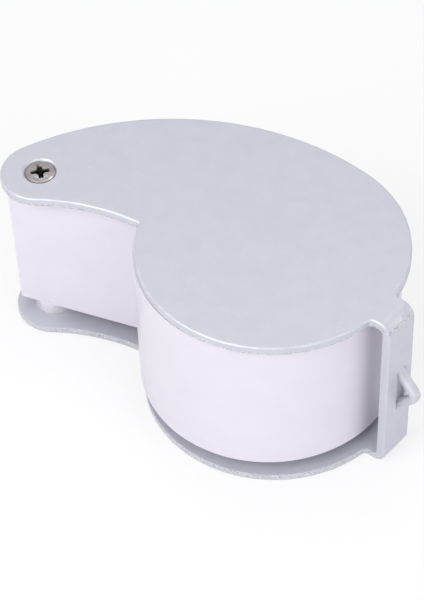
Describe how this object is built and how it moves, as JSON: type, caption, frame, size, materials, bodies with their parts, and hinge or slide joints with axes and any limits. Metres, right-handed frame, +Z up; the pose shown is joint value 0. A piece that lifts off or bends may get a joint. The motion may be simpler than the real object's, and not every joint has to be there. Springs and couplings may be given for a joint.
{
  "type": "viewing loupe",
  "caption": "Folding pocket magnifier: a white lens body with its own lamps swings out of a bent silver sheet case on a screw pivot.",
  "frame": {"origin": "on the lens axis, in the lower face of the case", "axes": "+X from the pivot towards the lanyard end, +Z up through the plates, hollow edge on the -Y side"},
  "size_m": [0.0629, 0.0373, 0.0268],
  "materials": {
    "case_paint": "satin silver paint with fine metallic fleck",
    "nickel": "nickel plated, slightly dull",
    "spring_steel": "bright spring steel",
    "nylon": "natural nylon",
    "white_plastic": "glossy white moulding",
    "lens_clear": "polished clear lens",
    "black_plastic": "fine matt black",
    "board_green": "solder-resist green",
    "lamp_clear": "water-clear resin",
    "resistor_tan": null,
    "cell_steel": "satin stainless steel",
    "brass": "bright stamped brass",
    "wire_red": "soft insulation",
    "wire_black": "soft insulation",
    "wire_white": "soft insulation"
  },
  "bodies": {
    "case": {"case_shell": "case_paint", "pivot_screw": "nickel", "pivot_post": "nickel", "spring_washer": "spring_steel", "nylon_washer": "nylon"},
    "lens_body": {"body_shell": "white_plastic", "base_cover": "white_plastic", "upper_lens": "lens_clear", "lens_spacer": "black_plastic", "lower_lens": "lens_clear", "lens_retainer": "black_plastic", "light_board": "board_green", "left_lamp": "lamp_clear", "right_lamp": "lamp_clear", "resistor": "resistor_tan", "top_cell": "cell_steel", "middle_cell": "cell_steel", "bottom_cell": "cell_steel", "negative_spring": "spring_steel", "positive_contact": "brass", "battery_door": "white_plastic", "door_screw": "nickel", "cover_screws": "nickel", "switch_can": "cell_steel", "switch_pins": "brass", "red_wire": "wire_red", "black_wire": "wire_black", "white_wire": "wire_white"},
    "switch": {"switch_knob": "black_plastic", "switch_wiper": "brass"}
  },
  "joints": [
    {"name": "body_swing", "type": "hinge", "parent": "case", "child": "lens_body", "pos_m": [-0.0333, 0, 0], "axis": [0, 0, 1], "continuous": true},
    {"name": "switch_slide", "type": "slide", "parent": "lens_body", "child": "switch", "axis": [-0.9781, -0.2079, 0], "range_m": [0, 0.002]}
  ]
}
